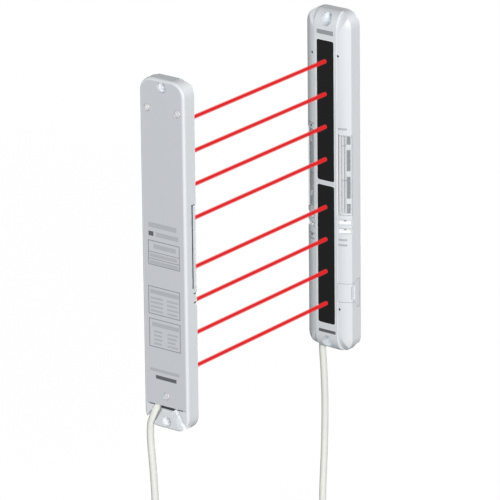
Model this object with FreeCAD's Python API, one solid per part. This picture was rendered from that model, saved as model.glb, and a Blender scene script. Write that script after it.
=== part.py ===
import FreeCAD, Part
import math
import os

from FreeCAD import Vector

# Safety light curtain: an emitter and a receiver, two equal slim units that face each other.
#
# Every unit is modelled in the emitter's place: X is across its width, Z is up along its length,
# its flat back lies in the plane y = 0 and its front faces -Y. "Depth" is measured from the back
# towards the front, so a point at depth d has y = -d. The receiver is the same unit turned half a
# turn about Z, with its front towards the emitter. Millimetres.

# ---- housing ----
WIDTH = 30.0
LENGTH = 199.0
CORNER_R = 8.5            # corners of the outline, seen from the front
STRIP_HALF = 7.4          # raised strip that holds the windows
STRIP_DEPTH = 13.0
STRIP_END = (8.5, 5.4)    # its front falls away towards both ends: length and drop of the arc
SIDE_DEPTH = STRIP_DEPTH - 4.0    # height of the straight side walls above the back
CROWN_DEPTH = STRIP_DEPTH - 0.4   # top of the convex flanks
CROWN_R = 11.5            # radius of the convex flanks
CROWN_EDGE = STRIP_HALF + 0.2     # half the width of the flat between the two flanks
CROWN_END = (12.0, 6.6)   # the same arc of the flanks
BACK_EDGE_R = 1.5         # rounding between the back and the sides
WALL = 2.6

# ---- windows and optics ----
AXIS_PITCH = 19.0
AXIS_FIRST = 14.0         # the nearest axes, on both sides of the bar between the windows
WINDOW_HALF = STRIP_HALF - 1.6
WINDOW_FROM = 1.35        # half the width of the bar between the two windows
WINDOW_TO = LENGTH / 2 - 16.45
WINDOW_CORNER_R = 1.2
PANE = 1.4
PANE_SUNK = 0.2
PANE_LEDGE = 0.7
LENS_R = 4.4
LENS_SAG = 1.3
LENS_PLATE = 1.0
HOLDER_HALF = WINDOW_HALF - 0.9
HOLDER_OVER = 6.5         # how far the optics holder runs past the outer axes
AXIS_COUNT = 2 * (1 + int((WINDOW_TO - HOLDER_OVER - AXIS_FIRST) / AXIS_PITCH))
TUBE_BACK_R = 1.9
DIODE_R = 1.5
DIODE_BASE = 1.2

# ---- mounting holes ----
MOUNT_PITCH = LENGTH - 9.0
MOUNT_HOLE_R = 1.7        # clearance of an M3 screw
MOUNT_BORE_R = 3.7
MOUNT_BORE = STRIP_DEPTH / 2
MOUNT_BACK_R = 3.0
MOUNT_POST_R = 4.6
POCKET_TOP = 2.6          # small pocket over the lower mounting bore
POCKET_HALF = 2.6
POCKET_DEEP = 8.0

# ---- back cover ----
COVER_RIM = 1.6           # the cover's edge lies this far inside the outline
COVER = 2.0
COVER_LOW = 13.1 - LENGTH / 2     # lower edge of the cover
COVER_SLIT = 0.35         # gap between the cover and the solid lower end
SCREW_X = WIDTH / 2 - 4.8
SCREW_TOP = LENGTH / 2 - 17.5
SCREW_LOW = 18.8 - LENGTH / 2
SCREW_BORE_R = 2.1
SCREW_BORE = 1.1
SCREW_HEAD_R = 1.8
SCREW_HEAD = 0.9
SCREW_R = 0.95
SCREW_LONG = 6.5
BOSS_R = 2.3
RIB = 1.2

# ---- clear covers, trays and light guides, the same on both flanks ----
CLEAR_LOW = -17.2
CLEAR_HIGH = 29.9
CLEAR_INNER = STRIP_HALF + 0.15   # inner edge, from the middle of the unit
CLEAR_SIDE = SIDE_DEPTH - 0.9     # depth of its edge on the side wall
CLEAR = 0.9
TRAY_SUNK = 1.7
TRAY_RIM = 0.8
TRAY_CREASE = WIDTH / 2 - 3.9
TRAY_CREASE_R = 0.3
TRAY_RIBS = (22.45, 6.85, -9.05)
TRAY_RIB = 3.1
SLOT_INNER = WIDTH / 2 - 2.8
SLOT_SIDE = CLEAR_SIDE + 0.55      # the slots end here on the side wall
GUIDE_Z = (-21.35, -26.5)
GUIDE = 3.2
GUIDE_INNER = STRIP_HALF + 0.8
GUIDE_SIDE = CLEAR_SIDE + 0.2
GUIDE_SUNK = 1.5
GUIDE_NOTCH = 0.7

# ---- access panel on the right flank ----
PANEL_LOW = 30.8 - LENGTH / 2
PANEL_HIGH = PANEL_LOW + 11.0
PANEL_SIDE_HIGH = PANEL_HIGH + 1.7
PANEL_SIDE_LOW = PANEL_LOW - 3.9
PANEL_STEP = SIDE_DEPTH - 3.4     # depth on the side wall where the panel gets taller
PANEL_SLOPE = 2.6         # length of the slanted step in its edge
PANEL = 1.4
PANEL_GAP = 0.15
PANEL_SUNK = 0.35
THUMB = (PANEL_LOW + 1.6, PANEL_HIGH - 1.6)
THUMB_DEPTHS = (SIDE_DEPTH - 2.6, SIDE_DEPTH - 0.4)
THUMB_SUNK = 0.6

# ---- small marks ----
PIN_R = 0.75
PIN_DEEP = 1.9
PINS = ((-9.4, LENGTH / 2 - 25.1), (8.3, LENGTH / 2 - 24.3), (-10.6, 31.6), (-10.6, -32.6), (8.6, 26.3 - LENGTH / 2))

# ---- board ----
BOARD_HALF = WIDTH / 2 - WALL - 1.0
BOARD = 1.6
BOARD_FROM = 3.0
BOARD_LOW = SCREW_LOW + 3.9
BOARD_HIGH = SCREW_TOP - 4.0
BOARD_PADS = (SCREW_TOP - 20.0, 36.5, -32.6, PANEL_SIDE_HIGH + 5.0)
PART_X = BOARD_HALF - 3.2     # middle of the parts beside the optics holder

# ---- cable outlet in the solid lower end ----
CABLE_R = 2.0
WIRE_R = 0.42
HEADER_UP = 5.0           # middle of the terminal block above the board's lower end
HEADER_HALF = 4.4
GROOVE_X = WIDTH / 2 - 6.2        # middle of each groove at the height GROOVE_Z
GROOVE_Z = 6.8 - LENGTH / 2
GROOVE_SLOPE = 33.0       # degrees from the vertical
GROOVE_HALF = 2.9
GROOVE_DEPTH = 4.4
GROOVE_FLOOR_R = 1.2
MOUTH_HALF = 8.2
MOUTH_LOW = COVER_LOW - 2.0
MOUTH_DEPTH = 7.0
LIP_R = 1.2
GROMMET = (3.2, 7.2, COVER_LOW + 0.5, SCREW_LOW - 1.9)   # half width, height, lowest and highest place
GROMMET_X = 6.6
CABLE_PLAY = 0.12         # round the cable where it runs through the lower end

# ---- the pair ----
SENSING_GAP = 133.0       # between the two fronts

# ---- cables ----
FLOOR = -225.0            # the surface that the coils lie on
COIL_R = 24.0             # middle of the turns
COIL_WIDE = 17.6
COIL_HIGH = 20.8
COIL_ROUND = 4.0
LEAD_R = 30.0             # the outer turn, which the cable runs into
LEAD_LONG = 18.0
TAIL_LONG = 27.0
TIE = 0.8
TIE_WIDE = 5.0
CORE_R = 0.55
CORE_LONG = 16.0
CORE_ANGLES = (-14.0, -5.0, 5.0, 14.0)

# Cable routes in the pair's own frame, from the strain relief down the groove, out of the housing's
# lower end, down to the surface below and along it to the coil. Each point is chosen by hand.
EMITTER_ROUTE = [
    (-6.0, -5.0, -82.2), (-10.6, -2.1, -95.2), (-11.1, -2.1, -103.0), (-10.2, -2.3, -111.5),
    (-9.4, -2.6, -122.0), (-8.8, -2.9, -136.0), (-9.0, -3.0, -153.0), (-9.6, -3.2, -171.0),
    (-10.6, -3.2, -187.5), (-11.0, -3.0, -200.4), (-6.8, -3.6, -210.7), (0.9, -5.1, -218.7),
    (11.0, -7.0, -223.0), (22.0, -8.9, -223.0)]
RECEIVER_ROUTE = [
    (-6.0, -154.0, -82.2), (-12.2, -156.9, -96.0), (-13.2, -156.9, -104.5), (-12.8, -156.7, -114.0),
    (-11.9, -156.2, -128.0), (-11.2, -155.8, -146.0), (-11.4, -155.6, -166.0), (-11.2, -155.8, -185.0),
    (-11.0, -156.0, -200.4), (-6.8, -155.4, -210.7), (0.9, -153.9, -218.7), (11.0, -152.0, -223.0),
    (22.0, -150.1, -223.0)]

AXIS_X = WIDTH / 2 - CORNER_R
AXIS_Z = LENGTH / 2 - CORNER_R
AXES = sorted(sign * (AXIS_FIRST + i * AXIS_PITCH) for i in range(AXIS_COUNT // 2) for sign in (-1, 1))
CAVITY_TOP = CROWN_DEPTH - WALL
PANE_BED = STRIP_DEPTH - PANE_SUNK - PANE
BOARD_TOP = BOARD_FROM + BOARD


def box(x0, x1, d0, d1, z0, z1):
    """A block between two places along X, two depths and two heights."""
    return Part.makeBox(x1 - x0, d1 - d0, z1 - z0, Vector(x0, -d1, z0))


def rod(radius, x, z, d0, d1):
    """A cylinder along the depth."""
    return Part.makeCylinder(radius, d1 - d0, Vector(x, -d0, z), Vector(0, -1, 0))


def both(shape):
    """A shape and its mirror image across the middle of the unit."""
    return shape.fuse(shape.mirror(Vector(0, 0, 0), Vector(1, 0, 0)))


def prism(points, direction):
    """A closed outline, swept along a vector."""
    return Part.Face(Part.makePolygon(points + points[:1])).extrude(direction)


def flank(inset):
    """The flank's arc as (radius, shoulder depth, inner place, top depth), all from the corner's axis."""
    a = Vector(CROWN_EDGE - AXIS_X, CROWN_DEPTH, 0)
    b = Vector(CORNER_R, SIDE_DEPTH, 0)
    chord = b - a
    back = Vector(chord.y, -chord.x, 0).normalize()
    centre = (a + b) * 0.5 + back * math.sqrt(CROWN_R ** 2 - (chord.Length / 2) ** 2)
    radius, side, top = CROWN_R - inset, CORNER_R - inset, CROWN_DEPTH - inset
    shoulder = centre.y + math.sqrt(radius ** 2 - (side - centre.x) ** 2)
    inner = centre.x + math.sqrt(radius ** 2 - (top - centre.y) ** 2)
    angle = (math.atan2(shoulder - centre.y, side - centre.x)
             + math.atan2(top - centre.y, inner - centre.x)) / 2
    middle = Vector(centre.x + radius * math.cos(angle), centre.y + radius * math.sin(angle), 0)
    return shoulder, inner, middle, top


def edge_profile(inset, back, rounding):
    """Half a cross-section, from the corner's axis outwards, as a face at the axis's height."""
    side = CORNER_R - inset
    shoulder, inner, middle, top = flank(inset)

    def at(r, depth):
        return Vector(AXIS_X + r, -depth, AXIS_Z)

    edges = []
    if rounding:
        turn = rounding * (1 - math.sqrt(0.5))
        edges = [Part.LineSegment(at(0, back), at(side - rounding, back)).toShape(),
                 Part.Arc(at(side - rounding, back), at(side - turn, back + turn),
                          at(side, back + rounding)).toShape()]
    else:
        edges = [Part.LineSegment(at(0, back), at(side, back)).toShape()]
    edges += [Part.LineSegment(at(side, back + rounding), at(side, shoulder)).toShape(),
              Part.Arc(at(side, shoulder), at(middle.x, middle.y), at(inner, top)).toShape(),
              Part.LineSegment(at(inner, top), at(0, top)).toShape(),
              Part.LineSegment(at(0, top), at(0, back)).toShape()]
    return Part.Face(Part.Wire(edges)), top


def falling_ends(top, end, inset, back=-3.0):
    """A slab across the whole width whose front falls away in an arc towards both ends."""
    long, drop = end
    radius = (long ** 2 + drop ** 2) / (2 * drop)
    foot, centre = LENGTH / 2 - long, top - radius
    z, radius, top = LENGTH / 2 - inset, radius - inset, top - inset

    def at(height, depth):
        return Vector(-WIDTH, -depth, height)

    def arc(sign):
        turn = math.asin((z - foot) / radius)
        points = [at(sign * (foot + radius * math.sin(a)), centre + radius * math.cos(a)) for a in (0, turn / 2, turn)]
        return Part.Arc(*points).toShape(), points[-1]

    upper, u = arc(1)
    lower, v = arc(-1)
    edges = [upper, Part.LineSegment(u, at(z, back)).toShape(), Part.LineSegment(at(z, back), at(-z, back)).toShape(),
             Part.LineSegment(at(-z, back), v).toShape(), lower, Part.LineSegment(at(-foot, top), at(foot, top)).toShape()]
    return Part.Face(Part.Wire(Part.__sortEdges__(edges))).extrude(Vector(2 * WIDTH, 0, 0))


def body(inset, back=0.0, rounding=0.0):
    """The unit's form, every surface moved inwards by inset, with its back at the depth back."""
    profile, top = edge_profile(inset, back, rounding)
    axis = Vector(AXIS_X, 0, AXIS_Z)
    corner = profile.revolve(axis, Vector(0, -1, 0), 90)
    side = profile.extrude(Vector(0, 0, -AXIS_Z))
    upright = profile.copy()
    upright.rotate(axis, Vector(0, -1, 0), 90)
    end = upright.extrude(Vector(-AXIS_X, 0, 0))
    core = box(0, AXIS_X, back, top, 0, AXIS_Z)
    solid = core.multiFuse([corner, side, end]).removeSplitter()
    for normal in (Vector(1, 0, 0), Vector(0, 0, 1)):
        solid = solid.fuse(solid.mirror(Vector(0, 0, 0), normal)).removeSplitter()
    return solid.common(falling_ends(CROWN_DEPTH, CROWN_END, inset))


def outline(inset, d0, d1):
    """The outline seen from the front, as a slab between two depths."""
    x, z, r = WIDTH / 2 - inset, LENGTH / 2 - inset, CORNER_R - inset
    slab = box(-x, x, d0, d1, -z, z)
    corners = [e for e in slab.Edges if abs(e.tangentAt(e.FirstParameter).y) > 0.9]
    return slab.makeFillet(r, corners)


def skin(inner, outer, low, high, edge, side):
    """The layer between two insets on the right flank, from edge round the shoulder to side."""
    window = box(edge, WIDTH, side, STRIP_DEPTH, low, high)
    return body(inner, back=-1).common(window).cut(body(outer, back=-2))


def strip():
    """The raised strip from end to end, whose ends fall away less than the flanks do."""
    bar = box(-STRIP_HALF, STRIP_HALF, WALL, STRIP_DEPTH, -LENGTH / 2, LENGTH / 2)
    bar = bar.common(outline(0, 0, STRIP_DEPTH + 1)).common(falling_ends(STRIP_DEPTH, STRIP_END, 0))
    return bar.cut(body(WALL / 2, back=-1))


def window_block(half, from_z, to_z, d0, d1, radius):
    """A block with rounded corners in the place of the upper window."""
    block = box(-half, half, d0, d1, from_z, to_z)
    corners = [e for e in block.Edges if abs(e.tangentAt(e.FirstParameter).y) > 0.9]
    return block.makeFillet(radius, corners)


def flipped(shape):
    """The same thing in the lower half of the unit."""
    return shape.mirror(Vector(0, 0, 0), Vector(0, 0, 1))


def groove():
    """One straight cable groove in the lower end, on the right."""
    slope = math.radians(GROOVE_SLOPE)
    along = Vector(math.sin(slope), 0, -math.cos(slope))
    across = Vector(math.cos(slope), 0, math.sin(slope)) * GROOVE_HALF
    middle = Vector(GROOVE_X, 1, GROOVE_Z)
    up = (MOUTH_LOW + 1 - GROOVE_Z) / math.cos(slope)
    start, stop = middle - along * up, middle + along * 20
    cut = prism([start - across, start + across, stop + across, stop - across],
                Vector(0, -1 - GROOVE_DEPTH, 0))
    floor = [e for e in cut.Edges if abs(e.CenterOfMass.y + GROOVE_DEPTH) < 0.01 and e.Length > 2 * GROOVE_HALF + 1]
    return cut.makeFillet(GROOVE_FLOOR_R, floor)


def outlet():
    """Everything that is cut out of the lower end for the cable."""
    mouth = box(-MOUTH_HALF, MOUTH_HALF, -1, MOUTH_DEPTH, MOUTH_LOW, COVER_LOW + 1)
    seam = box(-WIDTH / 2 + COVER_RIM, WIDTH / 2 - COVER_RIM, -1, COVER, COVER_LOW - COVER_SLIT, COVER_LOW + 1)
    lip = box(-MOUTH_HALF, MOUTH_HALF, -1, LIP_R, MOUTH_LOW - LIP_R, MOUTH_LOW + 0.5)
    lip = lip.cut(Part.makeCylinder(LIP_R, WIDTH, Vector(-WIDTH / 2, -LIP_R, MOUTH_LOW - LIP_R), Vector(1, 0, 0)))
    ways = []
    for route, way_back in ((EMITTER_ROUTE, 0.0), (RECEIVER_ROUTE, -(SENSING_GAP + 2 * STRIP_DEPTH))):
        points = [Vector(x, way_back - y if way_back else y, z) for x, y, z in route[:3]]
        for a, b in zip(points, points[1:]):
            ways.append(both(Part.makeCylinder(CABLE_R + CABLE_PLAY, (b - a).Length, a, b - a)))
    return mouth.multiFuse([seam, lip, both(groove())] + ways)


def access_panel_form(gap, outer, inner):
    """The access panel, gap smaller all round, as the layer between two insets."""
    flank_part = box(CROWN_EDGE + gap, WIDTH, PANEL_STEP, STRIP_DEPTH, PANEL_LOW + gap, PANEL_HIGH - gap)
    y0, y1 = -COVER - gap, -PANEL_STEP - PANEL_SLOPE / 2
    x = WIDTH / 2 - WALL - 1
    side_part = prism([Vector(x, y0, PANEL_SIDE_LOW + gap), Vector(x, y0, PANEL_SIDE_HIGH - gap),
                       Vector(x, y1 + PANEL_SLOPE, PANEL_SIDE_HIGH - gap), Vector(x, y1, PANEL_HIGH - gap),
                       Vector(x, y1, PANEL_LOW + gap), Vector(x, y1 + PANEL_SLOPE, PANEL_SIDE_LOW + gap)],
                      Vector(WIDTH, 0, 0))
    return body(outer, back=-1).common(flank_part.fuse(side_part)).cut(body(inner, back=-2))


def front_housing():
    shell = body(0, rounding=BACK_EDGE_R).fuse(strip())
    cavity = body(WALL, back=-1).common(box(-WIDTH, WIDTH, -1, STRIP_DEPTH, COVER_LOW, LENGTH))
    shell = shell.cut(cavity)
    bed = outline(COVER_RIM, -1, COVER).common(box(-WIDTH, WIDTH, -2, COVER, COVER_LOW, LENGTH))
    keep = []
    for x, z in ((0, MOUNT_PITCH / 2),):
        keep.append(rod(MOUNT_POST_R, x, z, COVER, CROWN_DEPTH).common(body(0.05)))
    for x, z in ((SCREW_X, SCREW_TOP), (-SCREW_X, SCREW_TOP)):
        keep.append(rod(BOSS_R, x, z, COVER, CAVITY_TOP).common(body(WALL / 2)))
    keep.append(rod(BOSS_R, 0, SCREW_LOW, COVER, CAVITY_TOP))
    inner_half = WIDTH / 2 - WALL + 0.3
    keep.append(box(-inner_half, inner_half, GROMMET[1] + 0.4, CAVITY_TOP, SCREW_LOW - RIB / 2, SCREW_LOW + RIB / 2)
                .common(body(WALL / 2)))
    for z in BOARD_PADS:
        for x in (-1, 1):
            keep.append(box(min(x * BOARD_HALF * 0.82, x * inner_half), max(x * BOARD_HALF * 0.82, x * inner_half),
                            BOARD_TOP, CAVITY_TOP, z - RIB / 2, z + RIB / 2).common(body(WALL / 2)))
    shell = shell.multiFuse(keep).cut(bed)

    pane = window_block(WINDOW_HALF, WINDOW_FROM, WINDOW_TO, PANE_BED, STRIP_DEPTH + 1, WINDOW_CORNER_R)
    light = window_block(WINDOW_HALF - PANE_LEDGE, WINDOW_FROM + PANE_LEDGE, WINDOW_TO - PANE_LEDGE,
                         CAVITY_TOP - 0.1, PANE_BED + 0.5, WINDOW_CORNER_R / 2)
    cuts = [pane, flipped(pane), light, flipped(light), outlet()]
    for sign in (-1, 1):
        z = sign * MOUNT_PITCH / 2
        cuts.append(rod(MOUNT_HOLE_R, 0, z, -1, STRIP_DEPTH))
        cuts.append(rod(MOUNT_BORE_R, 0, z, STRIP_DEPTH - MOUNT_BORE, STRIP_DEPTH + 1))
    z = -MOUNT_PITCH / 2
    cuts.append(rod(MOUNT_BACK_R, 0, z, -1, COVER))
    slant = POCKET_TOP * 0.4
    top = z + MOUNT_BORE_R + 0.9
    cuts.append(prism([Vector(-POCKET_HALF, -STRIP_DEPTH - 1, z + 1), Vector(POCKET_HALF, -STRIP_DEPTH - 1, z + 1),
                       Vector(POCKET_HALF - slant, -STRIP_DEPTH - 1, top),
                       Vector(slant - POCKET_HALF, -STRIP_DEPTH - 1, top)], Vector(0, POCKET_DEEP + 1, 0)))
    for x, z in ((SCREW_X, SCREW_TOP), (-SCREW_X, SCREW_TOP), (0, SCREW_LOW)):
        cuts.append(rod(SCREW_R, x, z, COVER - 0.1, COVER + SCREW_LONG - 1))
    for x, z in PINS:
        cuts.append(rod(PIN_R, x, z, surface_depth(x) - PIN_DEEP, STRIP_DEPTH + 1))
    clear = box(CLEAR_INNER, WIDTH, CLEAR_SIDE, STRIP_DEPTH + 1, CLEAR_LOW, CLEAR_HIGH)
    cuts.append(both(clear))
    for z in GUIDE_Z:
        cuts.append(both(box(GUIDE_INNER, WIDTH, GUIDE_SIDE, STRIP_DEPTH + 1, z - GUIDE / 2, z + GUIDE / 2)))
    shell = shell.cut(cuts[0].multiFuse(cuts[1:]))
    return shell.cut(access_panel_form(0, -1, WALL + 1))


def surface_depth(x):
    """Depth of the outer surface at a place across the unit, away from its ends."""
    r = abs(x) - AXIS_X
    shoulder, inner, middle, top = flank(0)
    if r <= inner:
        return top
    a, b = Vector(inner, top, 0), Vector(CORNER_R, shoulder, 0)
    chord = b - a
    centre = (a + b) * 0.5 + Vector(chord.y, -chord.x, 0).normalize() * math.sqrt(
        CROWN_R ** 2 - (chord.Length / 2) ** 2)
    return centre.y + math.sqrt(CROWN_R ** 2 - (r - centre.x) ** 2)


def back_cover():
    plate = outline(COVER_RIM, 0, COVER).common(box(-WIDTH, WIDTH, -1, COVER, COVER_LOW, LENGTH))
    cuts = [rod(MOUNT_BACK_R, 0, MOUNT_PITCH / 2, -1, COVER + 1)]
    for x, z in ((SCREW_X, SCREW_TOP), (-SCREW_X, SCREW_TOP), (0, SCREW_LOW)):
        cuts.append(rod(SCREW_BORE_R, x, z, -1, SCREW_BORE))
        cuts.append(rod(SCREW_R, x, z, -1, COVER + 1))
    return plate.cut(cuts[0].multiFuse(cuts[1:]))


def cover_screws():
    made = []
    for x, z in ((SCREW_X, SCREW_TOP), (-SCREW_X, SCREW_TOP), (0, SCREW_LOW)):
        head = rod(SCREW_HEAD_R, x, z, SCREW_BORE - SCREW_HEAD, SCREW_BORE)
        rim = [e for e in head.Edges if abs(e.CenterOfMass.y + SCREW_BORE - SCREW_HEAD) < 0.01]
        screw = head.makeFillet(SCREW_HEAD * 0.4, rim).fuse(rod(SCREW_R, x, z, SCREW_BORE, SCREW_LONG))
        arm = SCREW_HEAD_R * 0.55
        cross = box(x - arm, x + arm, -1, SCREW_BORE - SCREW_HEAD / 2, z - 0.2, z + 0.2).fuse(
            box(x - 0.2, x + 0.2, -1, SCREW_BORE - SCREW_HEAD / 2, z - arm, z + arm))
        made.append(screw.cut(cross))
    return Part.makeCompound(made)


def window():
    pane = window_block(WINDOW_HALF, WINDOW_FROM, WINDOW_TO, PANE_BED, PANE_BED + PANE, WINDOW_CORNER_R)
    return pane


def lens_bar():
    """Clear bar behind the upper window, with a lens on its back at each of four axes."""
    half = WINDOW_HALF - PANE_LEDGE
    low = WINDOW_FROM + PANE_LEDGE
    high = AXES[-1] + HOLDER_OVER
    bar = window_block(half, low, high, CAVITY_TOP, CAVITY_TOP + LENS_PLATE, WINDOW_CORNER_R / 2)
    radius = (LENS_R ** 2 + LENS_SAG ** 2) / (2 * LENS_SAG)
    for z in AXES[AXIS_COUNT // 2:]:
        ball = Part.makeSphere(radius, Vector(0, -(CAVITY_TOP - LENS_SAG + radius), z))
        bar = bar.fuse(ball.common(box(-half, half, 0, CAVITY_TOP + 0.1, z - LENS_R, z + LENS_R)))
    return bar.removeSplitter()


def optics_holder():
    end = AXES[-1] + HOLDER_OVER
    block = box(-HOLDER_HALF, HOLDER_HALF, BOARD_TOP, CAVITY_TOP, -end, end)
    cones = [Part.makeCone(TUBE_BACK_R, LENS_R, CAVITY_TOP - BOARD_TOP, Vector(0, -BOARD_TOP, z), Vector(0, -1, 0))
             for z in AXES]
    return block.cut(cones[0].multiFuse(cones[1:]))


def circuit_board():
    board = box(-BOARD_HALF, BOARD_HALF, BOARD_FROM, BOARD_TOP, BOARD_LOW, BOARD_HIGH)
    return board


def beam_diodes():
    made = []
    for z in AXES:
        base = rod(DIODE_R, 0, z, BOARD_TOP, BOARD_TOP + DIODE_BASE)
        dome = Part.makeSphere(DIODE_R, Vector(0, -(BOARD_TOP + DIODE_BASE), z), Vector(0, -1, 0), 0, 90, 360)
        made.append(base.fuse(dome).removeSplitter())
    return Part.makeCompound(made)


def board_chips():
    """The larger components, on both sides of the optics holder: (x, z, half width, half length, height)."""
    return Part.makeCompound([box(x - a, x + a, BOARD_TOP, BOARD_TOP + high, z - b, z + b) for x, z, a, b, high in (
        (PART_X, 44.0, 2.4, 3.6, 1.6), (-PART_X, 44.0, 2.4, 3.6, 1.6), (PART_X, -40.0, 2.4, 5.0, 1.4),
        (-PART_X, -42.0, 2.2, 2.2, 2.6), (PART_X + 0.2, BOARD_HIGH - 10.0, 1.6, 1.6, 2.4),
        (-PART_X - 0.2, BOARD_HIGH - 10.0, 1.6, 3.0, 1.4))])


def service_socket():
    """A shell-shaped socket that opens towards the access panel."""
    z = (PANEL_HIGH + PANEL_LOW) / 2
    socket = box(BOARD_HALF - 5.4, BOARD_HALF, BOARD_TOP, BOARD_TOP + 3.0, z - 3.6, z + 3.6)
    return socket.cut(box(BOARD_HALF - 3.4, WIDTH, BOARD_TOP + 0.6, BOARD_TOP + 2.4, z - 3.0, z + 3.0))


def cable_header(side):
    z = BOARD_LOW + HEADER_UP
    header = box(PART_X - 2.6, PART_X + 2.6, BOARD_TOP, BOARD_TOP + 3.4, z - HEADER_HALF, z + HEADER_HALF)
    for i in range(4):
        header = header.cut(rod(0.7, PART_X, z - 3.15 + i * 2.1, BOARD_TOP + 1.2, BOARD_TOP + 4))
    return header if side > 0 else header.mirror(Vector(0, 0, 0), Vector(1, 0, 0))


def clear_cover():
    return skin(0, CLEAR, CLEAR_LOW, CLEAR_HIGH, CLEAR_INNER, CLEAR_SIDE)


def indicator_tray():
    """Tray under the clear cover: a rim, a sunk floor with a crease, three ribs and four slots at the shoulder."""
    whole = skin(CLEAR, WALL, CLEAR_LOW, CLEAR_HIGH, CLEAR_INNER, CLEAR_SIDE)
    hollow = skin(CLEAR - 0.5, TRAY_SUNK, CLEAR_LOW + TRAY_RIM, CLEAR_HIGH - TRAY_RIM,
                  CLEAR_INNER + TRAY_RIM, CLEAR_SIDE + TRAY_RIM)
    ribs = [box(SLOT_INNER, WIDTH, 0, STRIP_DEPTH, z - TRAY_RIB / 2, z + TRAY_RIB / 2) for z in TRAY_RIBS]
    hollow = hollow.cut(ribs[0].multiFuse(ribs[1:]))
    tray = whole.cut(hollow)
    edges = [CLEAR_HIGH - 1.1] + [z + s * TRAY_RIB / 2 for z in TRAY_RIBS for s in (1, -1)] + [CLEAR_LOW + 1.0]
    for top, low in zip(edges[0::2], edges[1::2]):
        tray = tray.cut(box(SLOT_INNER, WIDTH, SLOT_SIDE, STRIP_DEPTH, low, top))
    depth = surface_depth(TRAY_CREASE) - TRAY_SUNK * 1.06
    crease = Part.makeCylinder(TRAY_CREASE_R, CLEAR_HIGH - CLEAR_LOW - 2 * TRAY_RIM,
                               Vector(TRAY_CREASE, -depth, CLEAR_LOW + TRAY_RIM))
    return tray.cut(crease)


def light_guides():
    """Two milky indicator pieces, each with two slanted facets."""
    made = []
    for z in GUIDE_Z:
        guide = skin(GUIDE_SUNK, WALL, z - GUIDE / 2, z + GUIDE / 2, GUIDE_INNER, GUIDE_SIDE)
        x = (GUIDE_INNER + WIDTH / 2) / 2
        depth = surface_depth(x) - GUIDE_SUNK
        notch = prism([Vector(x - 2.4, -depth - 2, z - GUIDE), Vector(x, -depth + GUIDE_NOTCH, z - GUIDE),
                       Vector(x + 0.8, -depth - 2, z - GUIDE)], Vector(0, 0, 2 * GUIDE))
        made.append(guide.cut(notch))
    return Part.makeCompound(made)


def access_panel():
    panel = access_panel_form(PANEL_GAP, 0, PANEL)
    relief = box(0, WIDTH, 0, PANEL_STEP, PANEL_SIDE_LOW, PANEL_SIDE_HIGH).cut(body(PANEL_SUNK, back=-2))
    thumb = box(0, WIDTH, *THUMB_DEPTHS, *THUMB).cut(body(THUMB_SUNK, back=-2))
    hooks = [box(WIDTH / 2 - WALL - 1.0, WIDTH / 2 - PANEL + 0.2, 6.0, 7.6, z - 1.2, z + 1.2)
             for z in (PANEL_HIGH - 2.6, PANEL_LOW + 2.6)]
    return panel.cut(relief).cut(thumb).multiFuse(hooks)


def mirrored(shape):
    return shape.mirror(Vector(0, 0, 0), Vector(1, 0, 0))


def tube(route):
    """A round tube of straight runs joined by tangent arcs, each as large as its two runs allow."""
    points = [Vector(*p) for p in route]
    edges, here, length = [], points[0], 0.0
    for before, corner, after in zip(points, points[1:], points[2:]):
        a, b = (corner - before), (after - corner)
        turn = a.getAngle(b)
        cut = 0.45 * min(a.Length, b.Length)
        radius = cut / math.tan(turn / 2)
        start, stop = corner - a * (cut / a.Length), corner + b * (cut / b.Length)
        middle = corner + ((start + stop) * 0.5 - corner).normalize() * (radius / math.cos(turn / 2) - radius)
        print("  arc radius %.0f mm, turn %.0f degrees" % (radius, math.degrees(turn)))
        edges += [Part.LineSegment(here, start).toShape(), Part.Arc(start, middle, stop).toShape()]
        length += (start - here).Length + radius * turn
        here = stop
    edges.append(Part.LineSegment(here, points[-1]).toShape())
    length += (points[-1] - here).Length
    disc = Part.Wire([Part.makeCircle(CABLE_R, points[0], points[1] - points[0])])
    solid = Part.Wire(edges).makePipeShell([disc], True, True)
    print("  cable tube %.1f mm long, volume ratio %.4f"
          % (length, solid.Volume / (math.pi * CABLE_R ** 2 * length)))
    return solid


def coil_frame(route, side):
    """Where a coil lies: its middle on the floor, the way the cable comes in, and the way to its far side."""
    a, b = Vector(*route[-2]), Vector(*route[-1])
    along = Vector(b.x - a.x, b.y - a.y, 0).normalize()
    across = Vector(-along.y, along.x, 0) * side
    centre = b + along * LEAD_LONG + across * LEAD_R
    return Vector(centre.x, centre.y, FLOOR), along, across


def ring(centre, inset):
    """The coil's outer shape: a ring of rounded section, moved inwards by inset."""
    wide, high, round_r = COIL_WIDE / 2 - inset, COIL_HIGH - 2 * inset, COIL_ROUND - inset
    block = Part.makeBox(2 * wide, 1.0, high, Vector(COIL_R - wide, 0, inset))
    block = block.makeFillet(round_r, [e for e in block.Edges if abs(e.tangentAt(e.FirstParameter).y) > 0.9])
    section = [f for f in block.Faces if abs(f.CenterOfMass.y) < 0.01][0]
    made = section.revolve(Vector(0, 0, 0), Vector(0, 0, 1), 360)
    made.translate(centre)
    return made


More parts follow.
